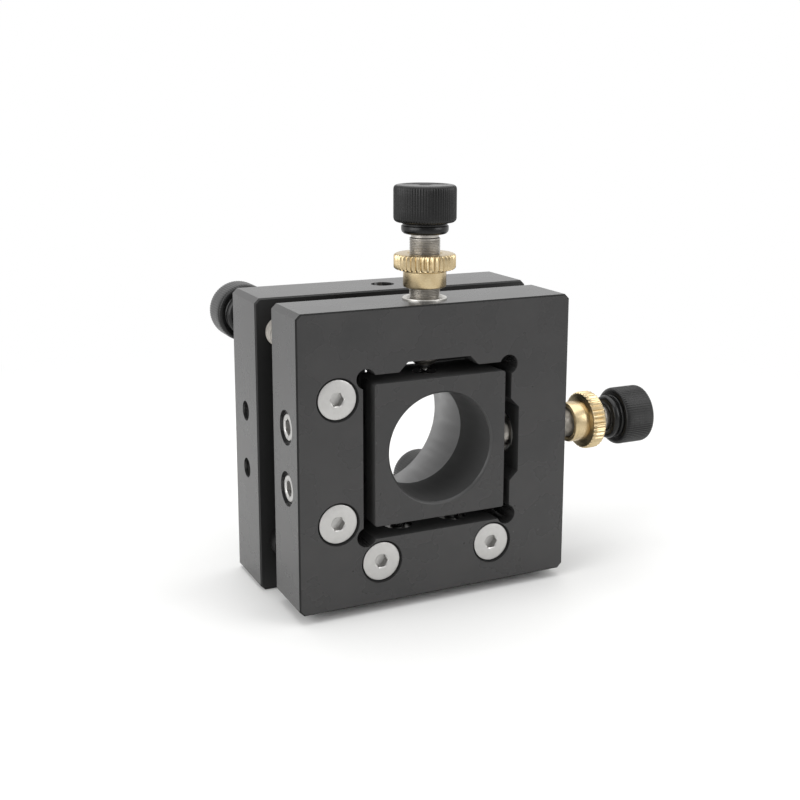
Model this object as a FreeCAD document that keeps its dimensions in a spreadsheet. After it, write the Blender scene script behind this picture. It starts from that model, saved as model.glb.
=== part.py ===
import FreeCAD, Part
import math
import os
import re
import Sketcher

# Mirror mount with a centring stage: a rear plate carries a front plate on three points, and
# the front plate carries a small square cell that slides sideways and up and down.
# X runs to the right, Y from the front face to the back, Z up. The origin is the mouth of the
# post hole, in the middle of the rear plate's underside. Lengths are in millimetres.

SIZES = [
    ("rear_past", 1.25, "rear plate past the front plate at each side"),
    ("rear_thick", 15.0, "rear plate, front to back"),
    ("rear_bore", 33.0, "clear hole through the rear plate"),
    ("front_width", 60.0, "front plate, side to side"),
    ("front_height", 60.0, "front plate, bottom to top"),
    ("front_thick", 14.0, "front plate, front to back"),
    ("front_lift", 2.0, "front plate's underside above the rear plate's"),
    ("plate_gap", 6.3, "air between the two plates"),
    ("corner_cut", 1.0, "chamfer on the four long corners of a plate"),
    ("edge_cut", 0.3, "chamfer round a plate's front and back outlines"),
    ("window_width", 33.0, "window in the front plate, side to side"),
    ("window_height", 33.5, "window in the front plate, bottom to top"),
    ("window_rise", 0.3, "window's centre above the plate's centre"),
    ("relief_bore", 4.1, "relief hole in each corner of the window"),
    ("relief_inset", 0.7, "relief hole's centre in from the window's corner"),
    ("notch_length", 17.6, "notch that clears the end of an adjuster"),
    ("notch_depth", 1.9, "notch past the window's wall"),
    ("cell_side", 29.0, "square cell, outside"),
    ("cell_bore", 22.6, "seat for the optic"),
    ("cell_bore_cut", 0.5, "chamfer at the mouths of the seat"),
    ("cell_shift", 0.55, "cell's centre right of the window's centre"),
    ("cell_rise", 0.3, "cell's centre above the window's centre"),
    ("slot_width", 3.6, "slot in the cell that a plunger's nose runs in"),
    ("slot_depth", 0.4, "depth of that slot"),
    ("keeper_thick", 3.0, "keeper that stops the cell at the back"),
    ("keeper_edge", 3.0, "keeper's outer edge in from the plate's edge"),
    ("keeper_reach", 5.2, "keeper's lips past the window's wall"),
    ("keeper_lip", 6.5, "width of a lip"),
    ("keeper_heel", 1.2, "keeper's notched corner from the conical seat"),
    ("keeper_toe", 0.4, "keeper's right end from the flat seat"),
    ("keeper_seat_past", 1.0, "keeper's seat past the window's wall, so that it opens there"),
    ("lip_room", 1.6, "free way beside a lip for the cell's travel"),
    ("face_screw_offset", 21.7, "face screws from the window's centre"),
    ("face_screw_spacing", 25.0, "between the two face screws of a pair"),
    ("face_screw_bore", 4.3, "clearance hole for a face screw"),
    ("face_screw_thread", 4.0, "face screw, thread"),
    ("face_screw_head", 8.2, "face screw, head"),
    ("face_screw_sink", 8.8, "countersink at the front face"),
    ("face_screw_land", 0.2, "straight edge of that head"),
    ("face_screw_key", 2.5, "hexagon key of a face screw"),
    ("face_screw_key_depth", 1.5, "depth of that hexagon"),
    ("plunger_depth", 6.4, "plungers behind the front face"),
    ("plunger_spacing", 12.4, "between the two plungers of a pair"),
    ("plunger_thread", 6.0, "plunger's sleeve, outside"),
    ("plunger_mouth", 7.0, "chamfered mouth of a plunger's hole"),
    ("plunger_sunk", 0.3, "sleeve's end below the plate's face"),
    ("plunger_sleeve", 12.7, "length of a sleeve"),
    ("plunger_chamber", 4.2, "spring chamber inside a sleeve"),
    ("plunger_floor", 4.0, "solid end of a sleeve, with the key's hexagon"),
    ("plunger_lip", 0.8, "rolled lip that keeps the nose in"),
    ("plunger_key", 3.0, "hexagon key of a sleeve"),
    ("plunger_key_depth", 2.0, "depth of that hexagon"),
    ("nose_thick", 3.0, "plunger's nose"),
    ("nose_head", 4.0, "head that the spring pushes on"),
    ("nose_head_length", 1.0, "length of that head"),
    ("nose_round", 0.8, "round at the nose's end"),
    ("nose_travel", 1.35, "free way of the nose outwards"),
    ("small_spring_wire", 0.4, "wire of a plunger's spring"),
    ("small_spring_turns", 5, "turns of a plunger's spring"),
    ("adjuster_thread", 6.2, "adjuster screw, outside"),
    ("bushing_thick", 9.0, "threaded bushing, outside"),
    ("bushing_thick_rear", 8.0, "threaded bushing in the rear plate, outside"),
    ("bushing_proud", 0.4, "bushing's rim above its plate"),
    ("bushing_short", 3.0, "rear bushing's end behind the rear plate's front face"),
    ("hub_stand_x", 14.1, "right knob's hub beyond the front plate's edge"),
    ("hub_stand_y", 13.1, "top knob's hub above the front plate's edge"),
    ("hub_stand_rear", 4.9, "knob's hub behind the rear plate"),
    ("hub_thick", 9.5, "knob's hub, outside"),
    ("hub_length", 2.3, "knob's hub"),
    ("knob_thick", 12.6, "knurled head, outside"),
    ("knob_length", 7.4, "knurled head"),
    ("knob_round", 0.8, "rounding of the knurled head's rims"),
    ("knob_socket", 6.6, "how far the screw goes into the knob"),
    ("knob_key", 2.0, "hexagon key in the end of a knob"),
    ("knob_key_depth", 1.6, "depth of that hexagon"),
    ("nut_stand_x", 4.3, "right lock nut beyond the plate's edge, backed off"),
    ("nut_stand_y", 2.4, "top lock nut above the plate's edge, backed off"),
    ("nut_neck", 8.7, "lock nut's plain neck, outside"),
    ("nut_neck_length", 3.6, "lock nut's plain neck"),
    ("nut_rim", 12.5, "lock nut's knurled rim, outside"),
    ("nut_rim_length", 3.2, "lock nut's knurled rim"),
    ("nut_rim_cut", 0.45, "chamfer on that rim"),
    ("nut_knurls", 36, "grooves round that rim"),
    ("nut_knurl_depth", 0.35, "depth of a groove"),
    ("nut_knurl_width", 0.8, "width of a groove at the rim"),
    ("tip_ball", 3.0, "steel ball in the end of a stage adjuster"),
    ("tilt_ball", 4.0, "steel ball in the end of a tilt adjuster"),
    ("nose_wall", 0.5, "wall of the screw's cup round its ball"),
    ("pivot_inset", 4.0, "fixed pivot in from the front plate's left edge"),
    ("pivot_height", 10.5, "fixed pivot above the underside"),
    ("yaw_past", 6.0, "yaw adjuster right of the lower right face screw"),
    ("pitch_past", 10.2, "pitch adjuster above the upper left face screw"),
    ("pivot_ball", 5.0, "steel ball of the fixed pivot"),
    ("seat_thick", 5.6, "hardened seat, outside"),
    ("seat_length", 3.0, "hardened seat"),
    ("cone_depth", 2.0, "depth of the conical seat, a right-angled cone"),
    ("groove_depth", 1.6, "depth of the grooved seat, a right-angled groove"),
    ("stud_head", 6.4, "pivot stud's cup, outside"),
    ("stud_stand", 3.4, "pivot stud's cup in front of the rear plate"),
    ("stud_thread", 5.0, "pivot stud's thread"),
    ("stud_length", 9.0, "pivot stud's thread"),
    ("pad_thick", 5.0, "steel wear pad in the cell's wall"),
    ("pad_length", 1.2, "steel wear pad"),
    ("spring_side", 19.8, "left return spring from the centre"),
    ("spring_bore", 5.6, "hole for a return spring"),
    ("spring_outside", 4.9, "return spring, outside"),
    ("spring_wire", 0.7, "return spring, wire"),
    ("spring_turns", 11, "return spring, turns"),
    ("spring_lead", 0.4, "coil's first turn from the middle of the end loop"),
    ("spring_well", 4.5, "spring's hole below the keeper's floor"),
    ("pin_thick", 2.0, "dowel pin that a return spring hooks on"),
    ("pin_length", 9.0, "dowel pin"),
    ("pin_sunk", 0.6, "rear dowel pins below the plate's back"),
    ("post_bore", 5.0, "tapped hole for a post, top and bottom"),
    ("post_depth", 7.0, "depth of that hole"),
    ("side_bore", 4.2, "tapped holes in the left edge of the rear plate"),
    ("side_depth", 7.0, "depth of those holes"),
    ("side_spacing", 12.4, "between those holes"),
    ("fit_gap", 0.02, "clearance round a piece that is pressed or screwed in"),
    ("run_gap", 0.05, "clearance round a piece that turns or slides"),
    ("touch_gap", 0.05, "clearance at a ball and its seat"),
]
NAMES = {alias for alias, _, _ in SIZES}
HEXAGON = [(math.cos(math.radians(60 * i)), math.sin(math.radians(60 * i))) for i in range(6)]
CORNER_PER_FLAT = 1 / math.sqrt(3)
ROOT_TWO = "%.7f" % math.sqrt(2)
START_RADIUS = 10

# Places worked out from the sizes, as expressions.
FRONT_Y = "(-rear_thick / 2 - plate_gap - front_thick)"
SEAT_Y = "(-rear_thick / 2 - plate_gap)"
STAGE_Y = "(%s + front_thick / 2)" % FRONT_Y
REAR_WIDTH = "(front_width + 2 * rear_past)"
REAR_HEIGHT = "(front_lift + front_height)"
PLATE_MID = "(front_height / 2 + window_rise)"
WINDOW_Z = "(front_lift + %s)" % PLATE_MID
CELL_Z = "(%s + cell_rise)" % WINDOW_Z
PIVOT_SIDE = "(front_width / 2 - pivot_inset)"
YAW_SIDE = "(face_screw_spacing / 2 + yaw_past)"
PITCH_HEIGHT = "(%s + face_screw_spacing / 2 + pitch_past)" % WINDOW_Z
PIVOT_AT = ("-" + PIVOT_SIDE, "pivot_height")
PITCH_AT = ("-" + PIVOT_SIDE, PITCH_HEIGHT)
YAW_AT = (YAW_SIDE, "pivot_height")
LEFT_SPRING_AT = ("-spring_side", CELL_Z)
LOWER_SPRING_AT = ("0", "pivot_height")
FACE_SCREWS = [
    ("-face_screw_offset", PLATE_MID + " + face_screw_spacing / 2"),
    ("-face_screw_offset", PLATE_MID + " - face_screw_spacing / 2"),
    ("-face_screw_spacing / 2", PLATE_MID + " - face_screw_offset"),
    ("face_screw_spacing / 2", PLATE_MID + " - face_screw_offset"),
]

UPRIGHT = FreeCAD.Rotation()
ALONG_X = FreeCAD.Rotation(FreeCAD.Vector(0, 1, 0), 90)
ALONG_Y = FreeCAD.Rotation(FreeCAD.Vector(1, 0, 0), -90)
ALONG_Y_LYING = ALONG_Y.multiply(FreeCAD.Rotation(FreeCAD.Vector(0, 0, 1), 90))

doc = FreeCAD.newDocument("mirror_mount")
sheet = doc.addObject("Spreadsheet::Sheet", "sizes")
nodes = []


def fill_sheet():
    for row, (alias, value, note) in enumerate(SIZES, 1):
        sheet.set("A%d" % row, note)
        sheet.set("B%d" % row, str(value))
        sheet.setAlias("B%d" % row, alias)
    doc.recompute()


def size(alias):
    return float(sheet.get(alias))


def worth(text):
    # The number that an expression comes to.
    return float(sheet.evalExpression(link(text)))


def link(text):
    # Puts the sheet's name in front of every size in an expression.
    return re.sub(r"[a-z][a-z_]+", lambda word: spelled(word.group(0)), text)


def spelled(word):
    return "sizes." + word if word in NAMES else word


def bind(thing, prop, text):
    thing.setExpression(prop, link(text))


def put(part, at, turn=UPRIGHT):
    # at holds the expressions for the part's x, y and z.
    part.Placement = FreeCAD.Placement(FreeCAD.Vector(), turn)
    for axis, text in zip("xyz", at):
        bind(part, "Placement.Base." + axis, text)


def new_body(label):
    body = doc.addObject("PartDesign::Body", label)
    body.Label = label
    return body


def keep(part):
    nodes.append(part)
    return part


def new_sketch(body, name, role, lift="0"):
    sketch = body.newObject("Sketcher::SketchObject", body.Name + "_" + name)
    planes = [item for item in body.Origin.OriginFeatures if item.Role == role]
    sketch.AttachmentSupport = [(planes[0], "")]
    sketch.MapMode = "FlatFace"
    bind(sketch, "AttachmentOffset.Base.z", lift)
    return sketch


def fix_point(sketch, shape, point, at):
    for kind, text in zip(("DistanceX", "DistanceY"), at):
        row = sketch.addConstraint(Sketcher.Constraint(kind, -1, 1, shape, point, 1.0))
        bind(sketch, "Constraints[%d]" % row, text)


def draw_outline(sketch, corners):
    # A closed outline through corners, each a pair of expressions.
    count = len(corners)
    first = sketch.GeometryCount
    turns = [2 * math.pi * i / count for i in range(count + 1)]
    ring = [FreeCAD.Vector(math.cos(a), math.sin(a), 0) * START_RADIUS for a in turns]
    for i in range(count):
        sketch.addGeometry(Part.LineSegment(ring[i], ring[i + 1]), False)
    for i in range(count):
        after = first + (i + 1) % count
        sketch.addConstraint(Sketcher.Constraint("Coincident", first + i, 2, after, 1))
    for i, corner in enumerate(corners):
        fix_point(sketch, first + i, 1, corner)


def draw_box(sketch, left, right, low, high):
    draw_outline(sketch, [(left, low), (right, low), (right, high), (left, high)])


def draw_circle(sketch, at, diameter):
    circle = Part.Circle(FreeCAD.Vector(1, 1, 0), FreeCAD.Vector(0, 0, 1), 1)
    shape = sketch.addGeometry(circle, False)
    fix_point(sketch, shape, 3, at)
    row = sketch.addConstraint(Sketcher.Constraint("Diameter", shape, 2.0))
    bind(sketch, "Constraints[%d]" % row, diameter)


def draw_hexagon(sketch, across):
    reach = "%s * %.7f" % (across, CORNER_PER_FLAT)
    draw_outline(sketch, [("%s * %.7f" % (reach, u), "%s * %.7f" % (reach, v)) for u, v in HEXAGON])


def pad(body, sketch, length, backwards=False):
    feature = body.newObject("PartDesign::Pad", sketch.Name + "_pad")
    feature.Profile = sketch
    feature.Reversed = backwards
    bind(feature, "Length", length)
    return settle(body, feature)


def cut(body, sketch, length, backwards=False):
    before = body.Shape.Volume
    feature = body.newObject("PartDesign::Pocket", sketch.Name + "_cut")
    feature.Profile = sketch
    feature.Reversed = backwards
    bind(feature, "Length", length)
    settle(body, feature)
    if body.Shape.Volume >= before:
        raise RuntimeError(feature.Name + " removes nothing")
    return feature


def turned(body, corners, name="profile"):
    # A solid of revolution about the body's Z; corners are radius and height.
    sketch = new_sketch(body, name, "XZ_Plane")
    draw_outline(sketch, corners)
    feature = body.newObject("PartDesign::Revolution", sketch.Name + "_turned")
    feature.Profile = sketch
    feature.ReferenceAxis = (sketch, ["V_Axis"])
    feature.Angle = 360
    return settle(body, feature)


def settle(body, feature):
    body.Tip = feature
    doc.recompute()
    return feature


def dress(body, kind, edges, amount):
    base = body.Tip
    feature = body.newObject("PartDesign::" + kind, body.Name + "_" + kind.lower())
    feature.Base = (base, edges)
    bind(feature, "Radius" if kind == "Fillet" else "Size", amount)
    return settle(body, feature)


def find_edges(body, wanted):
    return ["Edge%d" % (i + 1) for i, edge in enumerate(body.Tip.Shape.Edges) if wanted(edge)]


def near(a, b):
    return abs(a - b) < 1e-4


def group(label, parts):
    # Alike pieces that share one node, as separate solids.
    bundle = doc.addObject("Part::Compound", label)
    bundle.Label = label
    bundle.Links = parts
    doc.recompute()
    return keep(bundle)


# The plates


def plate_blank(label, width, height, thick):
    # Centred on X, standing on Z = 0, its front face at Y = 0.
    body = new_body(label)
    left, right = "-%s / 2" % width, "%s / 2" % width
    sketch = new_sketch(body, "outline", "XZ_Plane")
    draw_outline(sketch, [
        (left + " + corner_cut", "0"), (right + " - corner_cut", "0"),
        (right, "corner_cut"), (right, height + " - corner_cut"),
        (right + " - corner_cut", height), (left + " + corner_cut", height),
        (left, height + " - corner_cut"), (left, "corner_cut"),
    ])
    pad(body, sketch, thick, backwards=True)
    deep = size(thick)
    rims = find_edges(body, lambda e: all(near(v.Y, 0) for v in e.Vertexes)
                      or all(near(v.Y, deep) for v in e.Vertexes))
    dress(body, "Chamfer", rims, "edge_cut")
    return body


def bore(body, name, at, diameter, depth, start="0"):
    # A hole along Y from start towards the back.
    sketch = new_sketch(body, name, "XZ_Plane", "-(%s)" % start)
    draw_circle(sketch, at, diameter)
    return cut(body, sketch, depth)


def make_rear_plate():
    body = plate_blank("rear_plate", REAR_WIDTH, REAR_HEIGHT, "rear_thick")
    middle = REAR_HEIGHT + " / 2"
    bore(body, "light", ("0", middle), "rear_bore", "rear_thick")
    for name, at in tilt_axes():
        bore(body, name + "_way", at, "adjuster_thread + 4 * fit_gap", "rear_thick")
        bore(body, name, at, "bushing_thick_rear + 2 * fit_gap", "rear_thick", "bushing_short")
    bore(body, "stud", PIVOT_AT, "stud_thread + 2 * fit_gap", "stud_length + fit_gap")
    for name, at in (("left", LEFT_SPRING_AT), ("lower", LOWER_SPRING_AT)):
        bore(body, name + "_spring", at, "spring_bore", "rear_thick")
        trench(body, name + "_trench", at, name == "left", "rear_thick", "pin_thick + pin_sunk")
    for name, start, backwards in (("post", "0", True), ("top", REAR_HEIGHT, False)):
        sketch = new_sketch(body, name, "XY_Plane", start)
        draw_circle(sketch, ("0", "rear_thick / 2"), "post_bore")
        cut(body, sketch, "post_depth", backwards)
    sketch = new_sketch(body, "side", "YZ_Plane", "-%s / 2" % REAR_WIDTH)
    for sign in ("-", "+"):
        at = ("rear_thick / 2", "%s %s side_spacing / 2" % (middle, sign))
        draw_circle(sketch, at, "side_bore")
    cut(body, sketch, "side_depth", backwards=True)
    put(body, ("0", "-rear_thick / 2", "0"))
    return keep(body)


def trench(body, name, at, upright, floor, depth):
    # A slot for a dowel pin, sunk from the plane Y = floor towards the front.
    long, wide = "(pin_length / 2 + fit_gap)", "(pin_thick / 2 + fit_gap)"
    half_u, half_v = (wide, long) if upright else (long, wide)
    sketch = new_sketch(body, name, "XZ_Plane", "-(%s)" % floor)
    u, v = at
    draw_box(sketch, "%s - %s" % (u, half_u), "%s + %s" % (u, half_u),
             "%s - %s" % (v, half_v), "%s + %s" % (v, half_v))
    return cut(body, sketch, depth, backwards=True)


def tilt_axes():
    return (("pitch", PITCH_AT), ("yaw", YAW_AT))


def on_front(at):
    # A point of the rear plate's frame seen in the front plate's own frame.
    return (at[0], "%s - front_lift" % at[1])


def make_front_plate():
    body = plate_blank("front_plate", "front_width", "front_height", "front_thick")
    cut_window(body)
    cut_keeper_seat(body)
    for i, at in enumerate(FACE_SCREWS):
        bore(body, "face_screw_%d" % i, at, "face_screw_bore", "front_thick")
        sink_head(body, i, at)
    for name, at in (("cone", PIVOT_AT), ("groove", PITCH_AT), ("flat", YAW_AT)):
        bore(body, name, on_front(at), "seat_thick + 2 * fit_gap", "seat_length + fit_gap",
             "front_thick - seat_length - fit_gap")
    floor = "(front_thick - keeper_thick - fit_gap)"
    for name, at in (("left", LEFT_SPRING_AT), ("lower", LOWER_SPRING_AT)):
        place = on_front(at)
        bore(body, name + "_well", place, "spring_bore", "spring_well", floor + " - spring_well")
        trench(body, name + "_trench", place, name == "left", floor, "pin_thick + fit_gap")
    bore_for_plungers(body)
    bore_for_stage_screws(body)
    put(body, ("0", FRONT_Y, "front_lift"))
    return keep(body)


def cut_window(body):
    half_u, half_v = "window_width / 2", "window_height / 2"
    sketch = new_sketch(body, "window", "XZ_Plane")
    draw_box(sketch, "-" + half_u, half_u, "%s - %s" % (PLATE_MID, half_v),
             "%s + %s" % (PLATE_MID, half_v))
    cut(body, sketch, "front_thick")
    for i, (side, up) in enumerate((("-", "-"), ("", "-"), ("", "+"), ("-", "+"))):
        at = ("%s(%s - relief_inset)" % (side, half_u),
              "%s %s (%s - relief_inset)" % (PLATE_MID, up, half_v))
        bore(body, "relief_%d" % i, at, "relief_bore", "front_thick")
    notch = new_sketch(body, "notch", "XZ_Plane")
    reach = "notch_length / 2"
    draw_outline(notch, [
        ("-" + reach, PLATE_MID), (reach, PLATE_MID),
        (reach, "%s + %s" % (PLATE_MID, half_v)),
        (reach + " - notch_depth", "%s + %s + notch_depth" % (PLATE_MID, half_v)),
        ("notch_depth - " + reach, "%s + %s + notch_depth" % (PLATE_MID, half_v)),
        ("-" + reach, "%s + %s" % (PLATE_MID, half_v)),
    ])
    cut(body, notch, "front_thick")
    notch = new_sketch(body, "side_notch", "XZ_Plane")
    draw_outline(notch, [
        ("0", "%s - %s" % (PLATE_MID, reach)), (half_u, "%s - %s" % (PLATE_MID, reach)),
        (half_u + " + notch_depth", "%s - %s + notch_depth" % (PLATE_MID, reach)),
        (half_u + " + notch_depth", "%s + %s - notch_depth" % (PLATE_MID, reach)),
        (half_u, "%s + %s" % (PLATE_MID, reach)), ("0", "%s + %s" % (PLATE_MID, reach)),
    ])
    cut(body, notch, "front_thick")


def keeper_corners(grow="0", lips=True):
    # The keeper's outline in the front plate's frame, grown by a clearance all round.
    wall_u = "(window_width / 2)"
    low = "(%s - window_height / 2)" % PLATE_MID
    outer_u = "(-front_width / 2 + keeper_edge - %s)" % grow
    outer_v = "(keeper_edge - %s)" % grow
    top = "(%s + window_height / 2)" % PLATE_MID
    reach_u = "(-%s + keeper_reach + %s)" % (wall_u, grow)
    reach_v = "(%s + keeper_reach + %s)" % (low, grow)
    heel_u = "(-%s + seat_thick / 2 + keeper_heel - %s)" % (PIVOT_SIDE, grow)
    heel_v = "(pivot_height - front_lift + seat_thick / 2 + keeper_heel - %s)" % grow
    toe_u = "(min(%s; %s - seat_thick / 2 - keeper_toe) + %s)" % (wall_u, YAW_SIDE, grow)
    if not lips:
        open_u = "-%s + keeper_seat_past" % wall_u
        open_v = low + " + keeper_seat_past"
        return [(outer_u, heel_v), (heel_u, heel_v), (heel_u, outer_v), (toe_u, outer_v),
                (toe_u, open_v), (open_u, open_v), (open_u, top + " + " + grow),
                (outer_u, top + " + " + grow)]
    return [
        (outer_u, heel_v), (heel_u, heel_v), (heel_u, outer_v), (toe_u, outer_v),
        (toe_u, reach_v),
        (wall_u + " - keeper_lip", reach_v), (wall_u + " - keeper_lip", low),
        ("-%s + keeper_lip" % wall_u, low), ("-%s + keeper_lip" % wall_u, reach_v),
        (reach_u, reach_v), (reach_u, low + " + keeper_lip"),
        ("-" + wall_u, low + " + keeper_lip"), ("-" + wall_u, top + " - keeper_lip"),
        (reach_u, top + " - keeper_lip"), (reach_u, top), (outer_u, top),
    ]


def cut_keeper_seat(body):
    sketch = new_sketch(body, "keeper_seat", "XZ_Plane", "-front_thick")
    draw_outline(sketch, keeper_corners("fit_gap", lips=False))
    cut(body, sketch, "keeper_thick + fit_gap", backwards=True)


def sink_head(body, i, at):
    # The countersink of a flat-headed screw, at the front face.
    groove = new_sketch(body, "sink_%d" % i, "YZ_Plane", at[0])
    rim = "(face_screw_sink - face_screw_head) / 2"
    floor = rim + " + (face_screw_sink - face_screw_thread) / 2"
    draw_outline(groove, [
        ("-fit_gap", at[1]),
        ("-fit_gap", "%s + face_screw_sink / 2" % at[1]),
        (rim, "%s + face_screw_sink / 2" % at[1]),
        (floor, "%s + face_screw_thread / 2" % at[1]),
        (floor, at[1]),
    ])
    feature = body.newObject("PartDesign::Groove", groove.Name + "_sunk")
    feature.Profile = groove
    feature.ReferenceAxis = (groove, ["Edge5"])
    feature.Angle = 360
    before = body.Shape.Volume
    settle(body, feature)
    if body.Shape.Volume >= before:
        raise RuntimeError(feature.Name + " removes nothing")


def plunger_places():
    half = "plunger_spacing / 2"
    side = [(("-front_width / 2", "%s + plunger_depth" % FRONT_Y, "%s %s %s" % (CELL_Z, s, half)),
             ALONG_X) for s in "+-"]
    lower = [(("%s%s" % (s, half), "%s + plunger_depth" % FRONT_Y, "front_lift"), UPRIGHT)
             for s in ("", "-")]
    return {"side": side, "lower": lower}


def bore_for_plungers(body):
    mid = "(%s + cell_rise)" % PLATE_MID
    side = new_sketch(body, "side_plungers", "YZ_Plane", "-front_width / 2")
    mouths = new_sketch(body, "side_mouths", "YZ_Plane", "-front_width / 2")
    for sign in "+-":
        at = ("plunger_depth", "%s %s plunger_spacing / 2" % (mid, sign))
        draw_circle(side, at, "plunger_thread + 2 * fit_gap")
        draw_circle(mouths, at, "plunger_mouth")
    cut(body, side, "(front_width - window_width) / 2", backwards=True)
    cut(body, mouths, "(plunger_mouth - plunger_thread) / 2", backwards=True)
    lower = new_sketch(body, "lower_plungers", "XY_Plane")
    mouths = new_sketch(body, "lower_mouths", "XY_Plane")
    for sign in ("", "-"):
        at = (sign + "plunger_spacing / 2", "plunger_depth")
        draw_circle(lower, at, "plunger_thread + 2 * fit_gap")
        draw_circle(mouths, at, "plunger_mouth")
    cut(body, lower, "%s - window_height / 2" % PLATE_MID, backwards=True)
    cut(body, mouths, "(plunger_mouth - plunger_thread) / 2", backwards=True)


def bore_for_stage_screws(body):
    hole = "bushing_thick + 2 * fit_gap"
    top = new_sketch(body, "top_adjuster", "XY_Plane", "front_height")
    draw_circle(top, ("0", "front_thick / 2"), hole)
    cut(body, top, "front_height / 2 - window_rise - window_height / 2")
    right = new_sketch(body, "right_adjuster", "YZ_Plane", "front_width / 2")
    draw_circle(right, ("front_thick / 2", PLATE_MID), hole)
    cut(body, right, "(front_width - window_width) / 2")


def make_keeper():
    body = new_body("keeper_plate")
    sketch = new_sketch(body, "outline", "XZ_Plane")
    draw_outline(sketch, keeper_corners())
    pad(body, sketch, "keeper_thick", backwards=True)
    for i, at in enumerate(FACE_SCREWS):
        bore(body, "thread_%d" % i, at, "face_screw_thread + 2 * fit_gap", "keeper_thick")
    for name, at in (("left", LEFT_SPRING_AT), ("lower", LOWER_SPRING_AT)):
        bore(body, name + "_way", on_front(at), "spring_bore", "keeper_thick")
    put(body, ("0", SEAT_Y + " - keeper_thick", "front_lift"))
    return keep(body)


def make_cell():
    # The cell's own frame is centred on its bore, with the front face at Y = 0.
    body = new_body("mirror_cell")
    half = "cell_side / 2"
    sketch = new_sketch(body, "outline", "XZ_Plane")
    draw_box(sketch, "-" + half, half, "-" + half, half)
    pad(body, sketch, "front_thick", backwards=True)
    corners = find_edges(body, lambda e: near(abs(e.Vertexes[0].Y - e.Vertexes[1].Y),
                                              size("front_thick")))
    dress(body, "Chamfer", corners, "edge_cut")
    bore(body, "seat", ("0", "0"), "cell_bore", "front_thick")
    mouths = find_edges(body, lambda e: near(getattr(e.Curve, "Radius", 0), size("cell_bore") / 2))
    dress(body, "Chamfer", mouths, "cell_bore_cut")
    clear_lips(body, half)
    slots(body, half)
    pads(body, half)
    put(body, ("cell_shift", FRONT_Y, CELL_Z))
    return keep(body)


def clear_lips(body, half):
    # Steps in the back edges that leave the keeper's lips their room.
    left = "(-window_width / 2 - cell_shift)"
    low = "(-window_height / 2 - cell_rise)"
    inner_u = "%s + keeper_reach + lip_room" % left
    inner_v = "%s + keeper_reach + lip_room" % low
    steps = [
        ("-" + half, inner_u, "-" + half, "%s + keeper_lip + lip_room" % low),
        ("-" + half, "%s + keeper_lip + lip_room" % left, "-" + half, inner_v),
        ("-" + half, inner_u,
         "window_height / 2 - cell_rise - keeper_lip - lip_room", half),
        ("window_width / 2 - cell_shift - keeper_lip - lip_room", half, "-" + half, inner_v),
    ]
    for i, (u0, u1, v0, v1) in enumerate(steps):
        sketch = new_sketch(body, "step_%d" % i, "XZ_Plane", "-front_thick")
        draw_box(sketch, u0, u1, v0, v1)
        cut(body, sketch, "keeper_thick + 2 * run_gap", backwards=True)


def slots(body, half):
    # Shallow slots along the left and lower walls, for the plungers' noses.
    for name, role in (("side_slot", "XY_Plane"), ("lower_slot", "YZ_Plane")):
        sketch = new_sketch(body, name, role, "-" + half)
        ends = [("slot_depth - " + half), "-" + half]
        y0, y1 = "plunger_depth - slot_width / 2", "plunger_depth + slot_width / 2"
        if name == "side_slot":
            draw_box(sketch, ends[1], ends[0], y0, y1)
        else:
            draw_box(sketch, y0, y1, ends[1], ends[0])
        cut(body, sketch, "cell_side", backwards=True)


def pads(body, half):
    # Seats for the two wear pads that the stage adjusters push on.
    at_top = new_sketch(body, "top_pad", "XY_Plane", half)
    draw_circle(at_top, ("-cell_shift", "front_thick / 2"), "pad_thick + 2 * fit_gap")
    cut(body, at_top, "pad_length + fit_gap")
    at_right = new_sketch(body, "right_pad", "YZ_Plane", half)
    draw_circle(at_right, ("front_thick / 2", "-cell_rise"), "pad_thick + 2 * fit_gap")
    cut(body, at_right, "pad_length + fit_gap")


# Round pieces, each turned about its own Z


def rod(label, radius, low, high, at, turn=UPRIGHT):
    body = new_body(label)
    turned(body, [("0", low), (radius, low), (radius, high), ("0", high)])
    put(body, at, turn)
    return body


def ball(label, diameter, at):
    sphere = doc.addObject("Part::Sphere", label)
    sphere.Label = label
    bind(sphere, "Radius", "%s / 2" % diameter)
    put(sphere, at)
    doc.recompute()
    return sphere


def key_hole(body, across, depth, level, upwards):
    # A hexagon socket sunk along Z from the plane Z = level.
    sketch = new_sketch(body, "key", "XY_Plane", level)
    draw_hexagon(sketch, across)
    return cut(body, sketch, depth, backwards=upwards)


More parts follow.
